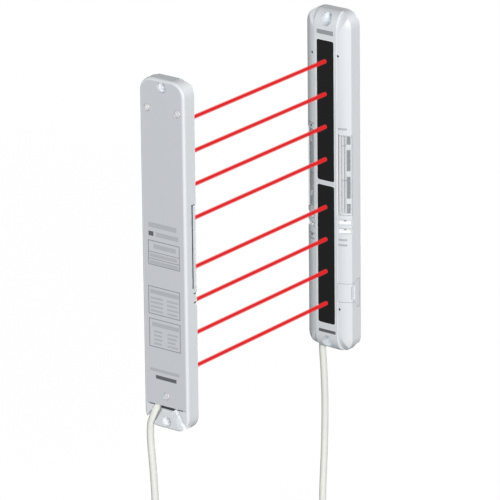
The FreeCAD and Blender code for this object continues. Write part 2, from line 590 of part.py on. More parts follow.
def coil_parts(route, side):
    """The coil with its straight lead and tail, the tie, and the four cores at its end."""
    centre, along, across = coil_frame(route, side)
    whole = ring(centre, 0)
    band = Part.makeBox(COIL_R * 2, TIE_WIDE, COIL_HIGH + 2, Vector(0, -TIE_WIDE / 2, -1))
    band.rotate(Vector(0, 0, 0), Vector(0, 0, 1), math.degrees(math.atan2(along.y, along.x)))
    band.translate(centre)
    tie = whole.common(band).cut(ring(centre, TIE))
    level = Vector(0, 0, CABLE_R)
    lead = Part.makeCylinder(CABLE_R, LEAD_LONG, centre + level - across * LEAD_R, along * -1)
    tail_at = centre + level + across * LEAD_R
    tail = Part.makeCylinder(CABLE_R, TAIL_LONG, tail_at, along * -1)
    coil = whole.cut(tie).fuse(lead).fuse(tail).removeSplitter()
    end = tail_at - along * TAIL_LONG
    cores = []
    for i, angle in enumerate(CORE_ANGLES):
        way = along * -math.cos(math.radians(angle)) + across * math.sin(math.radians(angle))
        root = end + across * ((i - 1.5) * CORE_R * 1.9) + Vector(0, 0, CORE_R - CABLE_R + 0.4)
        cores.append(Part.makeCylinder(CORE_R, CORE_LONG, root, way).cut(coil))
    return coil, tie, Part.makeCompound(cores)


def cable_grommet(route):
    """Rubber block in the housing's mouth with the cable through it."""
    half, high, low, top = GROMMET
    sign = -1 if route[0][0] < 0 else 1
    block = box(sign * GROMMET_X - half, sign * GROMMET_X + half, COVER, high, low, top)
    block = block.makeFillet(0.8, [e for e in block.Edges if abs(e.tangentAt(e.FirstParameter).z) > 0.9])
    a, b = Vector(*route[0]), Vector(*route[1])
    bore = Part.makeCylinder(CABLE_R, (b - a).Length, a, b - a)
    return block.cut(bore)


def lead_wires(route, header):
    """The four cores between the cable's end and its terminal block."""
    start, onward = Vector(*route[0]), Vector(*route[1])
    sign = -1 if start.x < 0 else 1
    ends = header.fuse(Part.makeCylinder(CABLE_R, (onward - start).Length, start, onward - start))
    made = []
    for i in range(4):
        a = start + Vector((i - 1.5) * 0.95, -0.25, 0)
        b = Vector(sign * PART_X + (i - 1.5) * 1.15, -(BOARD_TOP + 1.6), BOARD_LOW + HEADER_UP - HEADER_HALF)
        made.append(Part.makeCylinder(WIRE_R, (b - a).Length, a, b - a).cut(ends))
    return Part.makeCompound(made)


def turned(shape):
    """A piece of the receiver, from the emitter's place to its own."""
    shape = shape.copy()
    shape.rotate(Vector(0, 0, 0), Vector(0, 0, 1), 180)
    shape.translate(Vector(0, -(SENSING_GAP + 2 * STRIP_DEPTH), 0))
    return shape


def unit(prefix, cable_side, place):
    """All pieces of one unit but its cable."""
    clear, tray, guides = clear_cover(), indicator_tray(), light_guides()
    pieces = {
        "front_housing": front_housing(), "back_cover": back_cover(), "cover_screws": cover_screws(),
        "upper_window": window(), "lower_window": flipped(window()),
        "upper_lens_bar": lens_bar(), "lower_lens_bar": flipped(lens_bar()),
        "optics_holder": optics_holder(), "circuit_board": circuit_board(), "beam_diodes": beam_diodes(),
        "board_chips": board_chips(), "service_socket": service_socket(), "cable_header": cable_header(cable_side),
        "right_clear_cover": clear, "left_clear_cover": mirrored(clear),
        "right_indicator_tray": tray, "left_indicator_tray": mirrored(tray),
        "right_light_guides": guides, "left_light_guides": mirrored(guides),
        "access_panel": access_panel()}
    return {prefix + name: place(shape) for name, shape in pieces.items()}


def cable(prefix, route, side):
    coil, tie, cores = coil_parts(route, side)
    return {prefix + "cable": tube(route), prefix + "cable_coil": coil, prefix + "coil_tie": tie,
            prefix + "cable_cores": cores}


def main():
    os.makedirs("parts", exist_ok=True)
    nodes = unit("emitter_", -1, lambda shape: shape)
    nodes.update(unit("receiver_", 1, turned))
    for prefix, route, place, side in (("emitter_", EMITTER_ROUTE, lambda shape: shape, -1),
                                       ("receiver_", RECEIVER_ROUTE, turned, 1)):
        local = [tuple(place(Part.Vertex(*p)).Point) for p in route[:2]]
        nodes[prefix + "cable_grommet"] = place(cable_grommet(local))
        nodes[prefix + "lead_wires"] = place(lead_wires(local, cable_header(local[0][0])))
        nodes.update(cable(prefix, route, side))
    for name, shape in nodes.items():
        print("%-32s solids %d volume %9.1f valid %s" % (name, len(shape.Solids), shape.Volume, shape.isValid()))
        shape.exportStep("parts/%s.step" % name)


main()
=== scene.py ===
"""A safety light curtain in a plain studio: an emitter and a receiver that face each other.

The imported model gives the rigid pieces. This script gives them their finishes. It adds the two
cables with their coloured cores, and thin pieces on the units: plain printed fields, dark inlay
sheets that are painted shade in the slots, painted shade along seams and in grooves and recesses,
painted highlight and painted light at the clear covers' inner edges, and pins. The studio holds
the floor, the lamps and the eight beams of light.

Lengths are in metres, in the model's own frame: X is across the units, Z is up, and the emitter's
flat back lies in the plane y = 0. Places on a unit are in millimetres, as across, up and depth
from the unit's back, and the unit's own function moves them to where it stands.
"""
import logging
import math
from dataclasses import dataclass
from enum import Enum
from typing import Callable, Sequence

import bpy
from mathutils import Matrix, Vector

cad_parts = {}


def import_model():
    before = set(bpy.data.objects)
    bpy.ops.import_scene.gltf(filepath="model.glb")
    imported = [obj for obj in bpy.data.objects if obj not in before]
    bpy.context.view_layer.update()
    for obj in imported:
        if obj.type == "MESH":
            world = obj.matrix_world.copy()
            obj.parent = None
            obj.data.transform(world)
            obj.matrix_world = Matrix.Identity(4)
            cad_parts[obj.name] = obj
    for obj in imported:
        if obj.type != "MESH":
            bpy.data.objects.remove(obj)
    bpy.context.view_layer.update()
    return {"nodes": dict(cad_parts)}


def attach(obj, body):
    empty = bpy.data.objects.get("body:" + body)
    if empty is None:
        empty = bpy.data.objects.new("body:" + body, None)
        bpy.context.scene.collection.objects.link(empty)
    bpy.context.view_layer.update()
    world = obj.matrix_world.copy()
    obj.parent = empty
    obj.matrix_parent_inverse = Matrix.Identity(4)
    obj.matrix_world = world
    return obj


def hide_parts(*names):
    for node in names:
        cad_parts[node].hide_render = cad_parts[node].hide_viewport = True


LOG = logging.getLogger("light_curtain")
ROOT = "root"
MM = 0.001
WHITE = (1.0, 1.0, 1.0, 1.0)
NO_COLOUR = (0.0, 0.0, 0.0, 1.0)

# Where things stand, in metres.
RECEIVER_BACK_Y = -0.159
MIDDLE_Y = -0.08
FLOOR_Z = -0.2252

# The outline of a unit's front across the unit, in millimetres, as the model has it.
HALF_WIDTH = 15.0
STRIP_DEPTH = 13.0
CROWN_DEPTH = 12.6
CROWN_EDGE = 7.6
ARC_X = 6.602
ARC_DEPTH = 1.143
ARC_RADIUS = 11.5

# Thin pieces, in millimetres: how far one sinks into its face, and how thick a printed one is.
SUNK = 0.02
INK = 0.03

Point = tuple[float, float, float]
Corners = list[tuple[float, float]]
DepthOf = Callable[[float], float]
Placing = Callable[[Vector], Vector]


def from_srgb(red: int, green: int, blue: int) -> tuple[float, float, float, float]:
    """Turns a colour as a screen shows it into the linear colour that a shader takes.

    Args:
        red: Red, from 0 to 255.
        green: Green, from 0 to 255.
        blue: Blue, from 0 to 255.

    Returns:
        The linear colour, with full alpha.
    """
    def linear(value: int) -> float:
        share = value / 255.0
        return share / 12.92 if share <= 0.04045 else ((share + 0.055) / 1.055) ** 2.4
    return linear(red), linear(green), linear(blue), 1.0


def new_material(name: str) -> tuple[bpy.types.Material, bpy.types.Node]:
    """Makes a material.

    Args:
        name: Its name.

    Returns:
        The material and its main shader.
    """
    material = bpy.data.materials.new(name)
    material.use_nodes = True
    return material, material.node_tree.nodes["Principled BSDF"]


def set_inputs(node: bpy.types.Node, values: dict[str, object]) -> None:
    """Sets several inputs of a node.

    Args:
        node: The node.
        values: The value of each input, by its name.
    """
    for name, value in values.items():
        node.inputs[name].default_value = value


def add_object(name: str, data: bpy.types.ID) -> bpy.types.Object:
    """Adds an object to the scene.

    Args:
        name: Its name.
        data: What it shows: a mesh, a curve, a lamp or a camera.

    Returns:
        The object.
    """
    made = bpy.data.objects.new(name, data)
    bpy.context.scene.collection.objects.link(made)
    return made


# --------------------------------------------------------------------------------------------
# Finishes
# --------------------------------------------------------------------------------------------
@dataclass(frozen=True)
class Finish:
    """How one material looks, with the size and the strength of its fine texture.

    Attributes:
        name: The material's name.
        colour: Its colour as a screen shows it, from 0 to 255.
        roughness: Roughness of the surface.
        grain_mm: Size of the grain in the surface.
        grain_depth_mm: Depth of the grain.
        mottle: How far the colour drifts from place to place, as a share of it.
        metallic: Share of metal.
        alpha: Opacity.
        coat: Share of a clear, glossy coat.
        specular: Strength of the mirror-like part.
        subsurface: Share of light that goes into the material and comes out nearby.
        brushed: True where the grain is drawn out along one direction.
    """
    name: str
    colour: tuple[int, int, int]
    roughness: float
    grain_mm: float
    grain_depth_mm: float
    mottle: float
    metallic: float = 0.0
    alpha: float = 1.0
    coat: float = 0.0
    specular: float = 0.5
    subsurface: float = 0.0
    brushed: bool = False


class Finishes(Enum):
    """Every finish in the scene."""
    HOUSING = Finish("housing_plastic", (231, 235, 239), 0.42, 0.22, 0.010, 0.010)
    BACK = Finish("back_cover_plastic", (212, 215, 220), 0.52, 0.22, 0.012, 0.012)
    PANE = Finish("filter_pane", (37, 37, 38), 0.3, 0.6, 0.002, 0.05, specular=0.22)
    CLEAR = Finish("clear_cover", (236, 240, 243), 0.1, 1.5, 0.001, 0.01, alpha=0.2, coat=0.25)
    LENS = Finish("lens_plastic", (226, 230, 232), 0.04, 1.5, 0.0005, 0.0, alpha=0.35, coat=0.4)
    TRAY = Finish("tray_plastic", (244, 246, 248), 0.34, 0.4, 0.004, 0.01)
    GUIDE = Finish("light_guide", (250, 251, 252), 0.25, 0.5, 0.003, 0.01, subsurface=0.2)
    SCREW = Finish("screw_steel", (248, 249, 250), 0.3, 0.12, 0.004, 0.03,
                   metallic=0.2, brushed=True)
    BLACK = Finish("black_plastic", (30, 30, 32), 0.55, 0.2, 0.01, 0.03)
    BOARD = Finish("board_mask", (28, 96, 58), 0.35, 0.8, 0.01, 0.12, coat=0.3)
    DIODE = Finish("diode_epoxy", (48, 38, 52), 0.12, 0.6, 0.001, 0.03, coat=0.5)
    SOCKET = Finish("socket_nylon", (228, 224, 212), 0.5, 0.3, 0.006, 0.02)
    RUBBER = Finish("grommet_rubber", (46, 46, 47), 0.7, 0.3, 0.015, 0.04)
    CABLE = Finish("cable_jacket", (238, 239, 234), 0.42, 0.9, 0.012, 0.018, subsurface=0.1)
    TIE = Finish("tie_nylon", (232, 232, 230), 0.4, 0.5, 0.01, 0.02)
    PRINT = Finish("printed_frame", (128, 131, 137), 0.6, 0.2, 0.002, 0.04)
    PRINT_SOFT = Finish("printed_field", (190, 193, 198), 0.6, 0.2, 0.002, 0.04)
    PRINT_DARK = Finish("printed_bar", (104, 106, 112), 0.6, 0.2, 0.002, 0.05)
    PRINT_FRONT = Finish("printed_front_bar", (158, 161, 166), 0.6, 0.2, 0.002, 0.04)
    # Painted shade: dark grey sheets in the slots under the clear covers, in the slit and beside
    # the left skirt.
    PAINTED_SHADE = Finish("painted_shade_dark", (84, 88, 96), 0.35, 0.5, 0.004, 0.05)
    # Painted shade along the trays' grooves, under the covers' top edges and at the top of the
    # guide recesses; the same grey colours the small ticks on the inlay sheets.
    SHADE_AND_TICKS = Finish("seam_shade", (150, 155, 163), 0.6, 0.3, 0.004, 0.03)
    # Painted shade in the seam round the access panel.
    PANEL_GAP_SHADE = Finish("panel_gap_shade", (184, 188, 194), 0.6, 0.3, 0.004, 0.03)
    MOUTH = Finish("mouth_shade", (58, 62, 70), 0.7, 0.3, 0.006, 0.03)
    SKIRT = Finish("cover_skirt", (236, 240, 246), 0.15, 0.8, 0.002, 0.01, coat=0.3)
    # Near white of the light pipe and the window rims; also used for a painted highlight along the
    # covers' inner edges and painted light over the tray walls' shade.
    PIPE_AND_HIGHLIGHT = Finish("light_pipe", (250, 251, 252), 0.2, 0.6, 0.002, 0.01)
    BROWN = Finish("core_brown", (122, 72, 40), 0.45, 0.4, 0.006, 0.03)
    BLUE = Finish("core_blue", (52, 92, 168), 0.45, 0.4, 0.006, 0.03)
    DARK = Finish("core_black", (36, 36, 38), 0.45, 0.4, 0.006, 0.03)
    PALE = Finish("core_white", (232, 232, 228), 0.45, 0.4, 0.006, 0.03)
    COPPER = Finish("tinned_copper", (206, 196, 184), 0.3, 0.1, 0.01, 0.05,
                    metallic=1.0, brushed=True)


class SurfaceGroup:
    """The node group that every finish shares: a fine grain as a bump, and a slow colour drift."""

    INPUTS = (("Colour", "NodeSocketColor", (0.8, 0.8, 0.8, 1.0)),
              ("Grain", "NodeSocketFloat", 4000.0),
              ("Depth", "NodeSocketFloat", 0.00001),
              ("Mottle", "NodeSocketFloat", 0.02),
              ("Roughness", "NodeSocketFloat", 0.5),
              ("Stretch", "NodeSocketVector", (1.0, 1.0, 1.0)))
    OUTPUTS = (("Colour", "NodeSocketColor"), ("Roughness", "NodeSocketFloat"),
               ("Normal", "NodeSocketVector"))
    BUMP_STRENGTH = 0.6
    DRIFT_SCALE = 55.0
    ROUGHNESS_SPAN = 0.12

    def __init__(self) -> None:
        self.tree = bpy.data.node_groups.new("moulded_surface", "ShaderNodeTree")
        face = self.tree.interface
        for name, kind, value in self.INPUTS:
            socket = face.new_socket(name=name, in_out="INPUT", socket_type=kind)
            socket.default_value = value
        for name, kind in self.OUTPUTS:
            face.new_socket(name=name, in_out="OUTPUT", socket_type=kind)
        self._build()

    def _sum(self, kind: str, operation: str) -> bpy.types.Node:
        """Makes a node that calculates."""
        node = self.tree.nodes.new(kind)
        node.operation = operation
        return node

    def _build(self) -> None:
        """Makes the group's nodes and links."""
        nodes, link = self.tree.nodes, self.tree.links.new
        given, out = nodes.new("NodeGroupInput"), nodes.new("NodeGroupOutput")
        place = nodes.new("ShaderNodeTexCoord")
        stretched = self._sum("ShaderNodeVectorMath", "MULTIPLY")
        link(place.outputs["Object"], stretched.inputs[0])
        link(given.outputs["Stretch"], stretched.inputs[1])
        grain = nodes.new("ShaderNodeTexNoise")
        set_inputs(grain, {"Detail": 3.0, "Roughness": 0.6})
        link(stretched.outputs[0], grain.inputs["Vector"])
        link(given.outputs["Grain"], grain.inputs["Scale"])
        bump = nodes.new("ShaderNodeBump")
        bump.inputs["Strength"].default_value = self.BUMP_STRENGTH
        link(given.outputs["Depth"], bump.inputs["Distance"])
        link(grain.outputs["Fac"], bump.inputs["Height"])
        drift = nodes.new("ShaderNodeTexNoise")
        set_inputs(drift, {"Scale": self.DRIFT_SCALE, "Detail": 4.0})
        link(place.outputs["Object"], drift.inputs["Vector"])
        span = nodes.new("ShaderNodeMapRange")
        set_inputs(span, {"To Min": -1.0, "To Max": 1.0})
        link(drift.outputs["Fac"], span.inputs["Value"])
        part = self._sum("ShaderNodeMath", "MULTIPLY_ADD")
        part.inputs[2].default_value = 1.0
        link(span.outputs["Result"], part.inputs[0])
        link(given.outputs["Mottle"], part.inputs[1])
        tint = self._sum("ShaderNodeVectorMath", "SCALE")
        link(given.outputs["Colour"], tint.inputs[0])
        link(part.outputs[0], tint.inputs["Scale"])
        rough = self._sum("ShaderNodeMath", "MULTIPLY_ADD")
        rough.inputs[1].default_value = self.ROUGHNESS_SPAN
        link(grain.outputs["Fac"], rough.inputs[0])
        less = self._sum("ShaderNodeMath", "SUBTRACT")
        less.inputs[1].default_value = self.ROUGHNESS_SPAN / 2
        link(given.outputs["Roughness"], less.inputs[0])
        link(less.outputs[0], rough.inputs[2])
        link(tint.outputs[0], out.inputs["Colour"])
        link(rough.outputs[0], out.inputs["Roughness"])
        link(bump.outputs["Normal"], out.inputs["Normal"])


class Palette:
    """Makes each material once, from its finish."""

    COAT_ROUGHNESS = 0.08
    BRUSHED_STRETCH = (0.15, 1.0, 1.0)
    EVEN_STRETCH = (1.0, 1.0, 1.0)
    SUBSURFACE_RADIUS = (1.0, 0.9, 0.8)
    SUBSURFACE_SCALE = 0.8 * MM

    def __init__(self) -> None:
        self.group = SurfaceGroup().tree
        self.made: dict[Finishes, bpy.types.Material] = {}

    def get(self, which: Finishes) -> bpy.types.Material:
        """Gives the material of a finish.

        Args:
            which: The finish.

        Returns:
            Its material, made at the first call.
        """
        if which not in self.made:
            self.made[which] = self._make(which.value)
        return self.made[which]

    def _make(self, finish: Finish) -> bpy.types.Material:
        """Makes one material."""
        material, shader = new_material(finish.name)
        nodes, link = material.node_tree.nodes, material.node_tree.links.new
        surface = nodes.new("ShaderNodeGroup")
        surface.node_tree = self.group
        set_inputs(surface, {
            "Colour": from_srgb(*finish.colour), "Grain": 1.0 / (finish.grain_mm * MM),
            "Depth": finish.grain_depth_mm * MM, "Mottle": finish.mottle,
            "Roughness": finish.roughness,
            "Stretch": self.BRUSHED_STRETCH if finish.brushed else self.EVEN_STRETCH})
        link(surface.outputs["Colour"], shader.inputs["Base Color"])
        link(surface.outputs["Roughness"], shader.inputs["Roughness"])
        link(surface.outputs["Normal"], shader.inputs["Normal"])
        set_inputs(shader, {
            "Metallic": finish.metallic, "Alpha": finish.alpha, "Coat Weight": finish.coat,
            "Coat Roughness": self.COAT_ROUGHNESS, "Specular IOR Level": finish.specular})
        if finish.subsurface:
            set_inputs(shader, {
                "Subsurface Weight": finish.subsurface,
                "Subsurface Radius": self.SUBSURFACE_RADIUS,
                "Subsurface Scale": self.SUBSURFACE_SCALE})
        return material


# --------------------------------------------------------------------------------------------
# Shapes
# --------------------------------------------------------------------------------------------
def deselect() -> None:
    """Clears the selection, so that an operator acts only on what is named after it."""
    for item in list(bpy.context.selected_objects):
        item.select_set(False)


def spline_curve(name: str, points: Sequence[Point], radius: float) -> bpy.types.Object:
    """Makes a round cord as one smooth open spline.

    Args:
        name: Name of the object.
        points: The spline's control points.
        radius: Radius of the cord.

    Returns:
        The curve object.
    """
    data = bpy.data.curves.new(name, "CURVE")
    data.dimensions = "3D"
    data.bevel_depth, data.bevel_resolution, data.use_fill_caps = radius, 5, True
    data.resolution_u = 5
    spline = data.splines.new("NURBS")
    spline.points.add(len(points) - 1)
    for held, place in zip(spline.points, points):
        held.co = (*place, 1.0)
    spline.order_u = 3
    spline.use_endpoint_u = True
    return add_object(name, data)


def solid_piece(name: str, verts: list[Vector], faces: list[tuple[int, ...]],
                material: bpy.types.Material) -> None:
    """Makes a closed piece from its points and faces, with its normals outwards.

    Args:
        name: Name of the piece.
        verts: Its points, in metres.
        faces: Its faces.
        material: Its material.
    """
    mesh = bpy.data.meshes.new(name)
    mesh.from_pydata([tuple(v) for v in verts], [], faces)
    mesh.validate()
    piece = add_object(name, mesh)
    deselect()
    bpy.context.view_layer.objects.active = piece
    piece.select_set(True)
    bpy.ops.object.mode_set(mode="EDIT")
    bpy.ops.mesh.select_all(action="SELECT")
    bpy.ops.mesh.normals_make_consistent(inside=False)
    bpy.ops.object.mode_set(mode="OBJECT")
    deselect()
    mesh.materials.append(material)
    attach(piece, ROOT)


# --------------------------------------------------------------------------------------------
# Cables
# --------------------------------------------------------------------------------------------
@dataclass(frozen=True)
class CoilForm:
    """The neat coil of put-away cable: the slots that its turns lie in.

    Attributes:
        pitch: Distance between turns that lie beside each other.
        outer: Radius of the outermost turns.
        rise: Distance between turns that lie on each other.
        columns: Number of turns in the lowest layer.
        layers: Number of layers.
        per_turn: Number of points in one turn.
    """
    pitch: float = 4.0 * MM
    outer: float = 30.0 * MM
    rise: float = 4.15 * MM
    columns: int = 4
    layers: int = 5
    per_turn: int = 16

    def slots(self) -> list[tuple[float, float]]:
        """Lists the (radius, height) of each turn, in the order in which the cable fills them."""
        radii = [self.outer - i * self.pitch for i in range(self.columns)]
        levels = [(i + 0.5) * self.rise for i in range(self.layers)]
        order = [(radius, levels[0]) for radius in radii]
        for column, rows in ((3, (1, 2, 3)), (2, (3, 2, 1)), (1, (1, 2, 3, 4)), (0, (4, 3, 2, 1))):
            order += [(radii[column], levels[row]) for row in rows]
        return order


@dataclass(frozen=True)
class CableRoute:
    """One unit's cable.

    Attributes:
        prefix: Name of the unit.
        exit: Where the cable comes out of the housing. Not used.
        points: The route's points, in millimetres.
        side: 1 where the coil lies to the left of the way that the cable comes in, -1 to its right.
        lead: Straight length between the route's end and the coil.
        tail: Straight length after the coil.
    """
    prefix: str
    exit: Point
    points: tuple[Point, ...]
    side: int
    lead: float = 18.0 * MM
    tail: float = 27.0 * MM


EMITTER_CABLE = CableRoute(
    "emitter", (-0.0082, -0.0036, -0.0884),
    ((-6.0, -5.0, -82.2), (-10.6, -2.1, -95.2), (-11.1, -2.1, -103.0), (-10.2, -2.3, -111.5),
     (-9.4, -2.6, -122.0), (-8.8, -2.9, -136.0), (-9.0, -3.0, -153.0), (-9.6, -3.2, -171.0),
     (-10.6, -3.2, -187.5), (-11.0, -3.0, -200.4), (-6.8, -3.6, -210.7), (0.9, -5.1, -218.7),
     (11.0, -7.0, -223.0), (22.0, -8.9, -223.0)), -1)
RECEIVER_CABLE = CableRoute(
    "receiver", (-0.0088, -0.1553, -0.0884),
    ((-6.0, -154.0, -82.2), (-12.2, -156.9, -96.0), (-13.2, -156.9, -104.5),
     (-12.8, -156.7, -114.0), (-11.9, -156.2, -128.0), (-11.2, -155.8, -146.0),
     (-11.4, -155.6, -166.0), (-11.2, -155.8, -185.0), (-11.0, -156.0, -200.4),
     (-6.8, -155.4, -210.7), (0.9, -153.9, -218.7), (11.0, -152.0, -223.0),
     (22.0, -150.1, -223.0)), 1)


class Cable:
    """A free cable: out of its housing, down to the floor, round its coil, with its cores bare."""

    RADIUS = 2.0 * MM
    LENGTH = 3.0
    # A turn keeps its slot for the first share of its way and crosses to the next in the second.
    KEEPS, CROSSES = 0.7, 0.3
    WOBBLE = 0.25 * MM
    # Along the tail, as a share of its length: how much of its height the cable has lost.
    TAIL_DROPS = ((0.3, 0.25), (0.6, 0.7), (0.85, 1.0), (1.0, 1.0))

    # The cores: their colours, how far each turns away, and their sizes. Lengths are millimetres.
    CORES = ((Finishes.BROWN, -13.0), (Finishes.BLUE, -4.5), (Finishes.DARK, 4.5),
             (Finishes.PALE, 13.0))
    CORE_RADIUS, TIP_RADIUS = 0.55, 0.34
    CORE_LENGTH, TIP_LENGTH = 15.0, 2.5
    CORE_GAP, CORE_LOW, CORE_INSIDE, CORE_SAG = 0.9, 0.6, 2.0, 0.75
    # Along a core, as a share of its length: how far it bows out.
    CORE_BOWS = ((0.25, 0.1), (0.5, 0.5), (0.75, 0.4), (1.0, 0.2))

    def __init__(self, route: CableRoute, palette: Palette) -> None:
        self.route, self.palette, self.form = route, palette, CoilForm()
        before, last = (Vector(p) * MM for p in route.points[-2:])
        self.along = Vector((last.x - before.x, last.y - before.y, 0.0)).normalized()
        self.across = Vector((-self.along.y, self.along.x, 0.0)) * route.side
        self.start = last
        self.centre = last + self.along * route.lead + self.across * self.form.outer
        self.centre.z = last.z - self.RADIUS

    def build(self) -> None:
        route, prefix = self.route, self.route.prefix
        points = [tuple(Vector(p) * MM) for p in route.points]
        points += self._turns()
        cord = spline_curve(prefix + "_cord", points, self.RADIUS)
        cord.data.materials.append(self.palette.get(Finishes.CABLE))
        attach(cord, ROOT)
        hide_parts(prefix + "_cable", prefix + "_cable_coil")
        cores = self._cores(Vector(points[-1]))
        LOG.info("%s cable made, %d points", prefix, len(points))

    def _at(self, angle: float, radius: float, height: float) -> Point:
        """A point of the coil; the angle grows the way the cable runs, from where it comes in."""
        way = self.across * -math.cos(angle) + self.along * math.sin(angle)
        spot = way * radius + self.centre
        return spot.x, spot.y, self.centre.z + height

    def _turns(self) -> list[Point]:
        """Lists the points of the lead, the turns and the tail."""
        slots, per = self.form.slots(), self.form.per_turn
        made: list[Point] = [tuple(self.start + self.along * self.route.lead * 0.5)]
        last = len(slots) * per + per // 2
        for step in range(last + 1):
            turn, part = divmod(step, per)
            here = slots[min(turn, len(slots) - 1)]
            onward = slots[min(turn + 1, len(slots) - 1)]
            share = max(0.0, (part / per - self.KEEPS) / self.CROSSES)
            share = share * share * (3.0 - 2.0 * share)
            radius = here[0] + (onward[0] - here[0]) * share
            height = here[1] + (onward[1] - here[1]) * share
            wobble = self.WOBBLE * math.sin(2.3 * turn + 1.7 * part / per * math.pi)
            made.append(self._at(step * 2.0 * math.pi / per, radius + wobble, height))
        end, way = Vector(made[-1]), self.along * -1.0
        floor = self.centre.z + self.RADIUS
        for share, drop in self.TAIL_DROPS:
            spot = end + way * self.route.tail * share
            made.append((spot.x, spot.y, end.z + (floor - end.z) * drop))
        return made

    def _cores(self, end: Vector) -> list[bpy.types.Object]:
        """Makes the coloured cores with their bare tips, as pieces that replace the plain rods."""
        prefix, way, made = self.route.prefix, self.along * -1.0, []
        for i, (finish, degrees) in enumerate(self.CORES):
            turn, place = math.radians(degrees), i - 1.5
            heading = way * math.cos(turn) + self.across * math.sin(turn)
            root = (end + self.across * (place * self.CORE_GAP * MM)
                    - Vector((0.0, 0.0, self.CORE_LOW * MM)) - way * self.CORE_INSIDE * MM)
            points = [tuple(root)]
            for share, bow in self.CORE_BOWS:
                spot = (root + heading * self.CORE_LENGTH * MM * share
                        + self.across * bow * place * 0.5 * MM)
                points.append((spot.x, spot.y,
                               spot.z - self.CORE_SAG * MM * min(1.0, share * 2)))
            sleeve = spline_curve("%s_core_%d" % (prefix, i + 1), points, self.CORE_RADIUS * MM)
            sleeve.data.materials.append(self.palette.get(finish))
            tip_from = Vector(points[-1])
            tip = spline_curve("%s_core_tip_%d" % (prefix, i + 1),
                               [tuple(tip_from - heading * MM), tuple(tip_from + heading * MM),
                                tuple(tip_from + heading * self.TIP_LENGTH * MM)],
                               self.TIP_RADIUS * MM)
            tip.data.materials.append(self.palette.get(Finishes.COPPER))
            for piece in (sleeve, tip):
                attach(piece, ROOT)
                made.append(piece)
        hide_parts(prefix + "_cable_cores")
        return made


# --------------------------------------------------------------------------------------------
# Thin pieces on a unit
# --------------------------------------------------------------------------------------------
@dataclass(frozen=True)
class Bar:
    """A plain bar, from (x0, z0) to (x1, z1) in millimetres."""
    x0: float
    z0: float
    x1: float
    z1: float


def frame_bars(x0: float, z0: float, x1: float, z1: float, line: float = 0.36) -> list[Bar]:
    """Lists the four thin bars of a frame, all in millimetres."""
    return [Bar(x0, z1 - line, x1, z1), Bar(x0, z0, x1, z0 + line),
            Bar(x0, z0 + line, x0 + line, z1 - line), Bar(x1 - line, z0 + line, x1, z1 - line)]


def rectangle(near: float, far: float, low: float, high: float) -> Corners:
    """Lists the corners of a rectangle on a side wall, between two depths and two heights."""
    return [(near, low), (far, low), (far, high), (near, high)]


def flank_depth(inset: float = 0.0) -> DepthOf:
    """Gives the function from a place across the unit to the depth of a layer under its front.

    Args:
        inset: How far the layer lies under the surface, in millimetres.

    Returns:
        The function. Both take and give millimetres.
    """
    def depth(x: float) -> float:
        if abs(x) <= CROWN_EDGE:
            return CROWN_DEPTH - inset
        away = abs(x) - ARC_X
        return ARC_DEPTH + math.sqrt((ARC_RADIUS - inset) ** 2 - away * away)
    return depth


@dataclass(frozen=True)
class Sheet:
    """Thin bars on one face of a unit, or in a layer under it: printed fields, rims, a light pipe,
    ticks, and inlay sheets and lines of painted shade, painted highlight and painted light.

    Attributes:
        name: Name of the piece.
        finish: Its finish.
        bars: The bars that it is made of.
        slot: Name of a material slot of the model. Not used.
        depth: Depth of the face at a place across the unit, in millimetres.
        height: Thickness of the piece, with its sign along the depth, in millimetres.
    """
    name: str
    finish: Finishes
    bars: Sequence[Bar]
    slot: str = "black_plastic"
    depth: DepthOf = lambda x: 0.0
    height: float = -INK

    # Longest piece of a curve that is kept straight, in millimetres.
    STEP = 0.6

    def build(self, palette: Palette, place: Placing) -> None:
        """Makes the bars as one piece.

        Args:
            palette: The materials.
            place: Moves a point of the unit to its own place.
        """
        verts, faces = [], []
        under = -SUNK * math.copysign(1.0, self.height)
        for bar in self.bars:
            count = max(1, int(abs(bar.x1 - bar.x0) / self.STEP))
            base = len(verts)
            for i in range(count + 1):
                x = bar.x0 + (bar.x1 - bar.x0) * i / count
                for z in (bar.z0, bar.z1):
                    for rise in (under, self.height):
                        verts.append(place(Vector((x, -(self.depth(x) + rise), z)) * MM))
            for i in range(count):
                a = base + 4 * i
                faces += [(a + 1, a + 3, a + 7, a + 5), (a, a + 4, a + 6, a + 2),
                          (a, a + 1, a + 5, a + 4), (a + 2, a + 6, a + 7, a + 3)]
            e = base + 4 * count
            faces += [(base, base + 2, base + 3, base + 1), (e, e + 1, e + 3, e + 2)]
        solid_piece(self.name, verts, faces, palette.get(self.finish))


